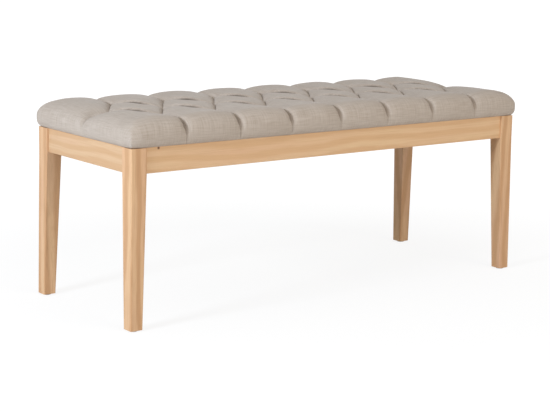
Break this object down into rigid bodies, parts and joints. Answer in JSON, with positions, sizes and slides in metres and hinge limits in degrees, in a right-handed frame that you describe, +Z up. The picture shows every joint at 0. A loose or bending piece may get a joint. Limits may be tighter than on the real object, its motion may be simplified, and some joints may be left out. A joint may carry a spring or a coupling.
{
  "type": "upholstered bench",
  "caption": "Long dining or bedroom bench with a diamond tufted fabric seat on a natural wood frame of tapered legs and plain aprons",
  "frame": {"origin": "on the floor, under the centre of the bench", "axes": "+Z up, X along the length of the bench, the front long side faces -Y"},
  "size_m": [1.181, 0.4368, 0.4796],
  "materials": {
    "leg_wood": "clear lacquered solid wood with straight grain",
    "apron_wood": "clear lacquered solid wood with cathedral grain",
    "dowel_wood": "fluted beech",
    "inner_wood": "bare sawn softwood",
    "board_plywood": "unfinished plywood",
    "glide_plastic": "moulded, matt",
    "zinc_steel": "zinc plated",
    "dust_cloth": "thin non-woven cloth",
    "cover_fabric": "plain woven linen look, warm taupe",
    "wadding": "polyester wadding",
    "foam": "open cell polyurethane foam",
    "tie_twine": "waxed polyester twine",
    "anchor_plastic": "moulded, matt"
  },
  "bodies": {
    "root": {"front_left_leg": "leg_wood", "front_right_leg": "leg_wood", "rear_right_leg": "leg_wood", "rear_left_leg": "leg_wood", "front_left_foot_glide": "glide_plastic", "front_right_foot_glide": "glide_plastic", "rear_right_foot_glide": "glide_plastic", "rear_left_foot_glide": "glide_plastic", "glide_nails": "zinc_steel", "front_apron": "apron_wood", "rear_apron": "apron_wood", "left_end_apron": "apron_wood", "right_end_apron": "apron_wood", "apron_dowels": "dowel_wood", "centre_cross_rail": "inner_wood", "front_left_corner_block": "inner_wood", "front_right_corner_block": "inner_wood", "rear_right_corner_block": "inner_wood", "rear_left_corner_block": "inner_wood", "leg_hanger_bolts": "zinc_steel", "leg_bolt_washers": "zinc_steel", "leg_bolt_nuts": "zinc_steel", "corner_block_screws": "zinc_steel", "seat_screws": "zinc_steel", "dust_cover": "dust_cloth", "cover_staples": "zinc_steel", "seat_board": "board_plywood", "seat_cover": "cover_fabric", "seat_wadding": "wadding", "seat_foam": "foam", "tuft_ties": "tie_twine", "tuft_anchors": "anchor_plastic"}
  },
  "joints": []
}
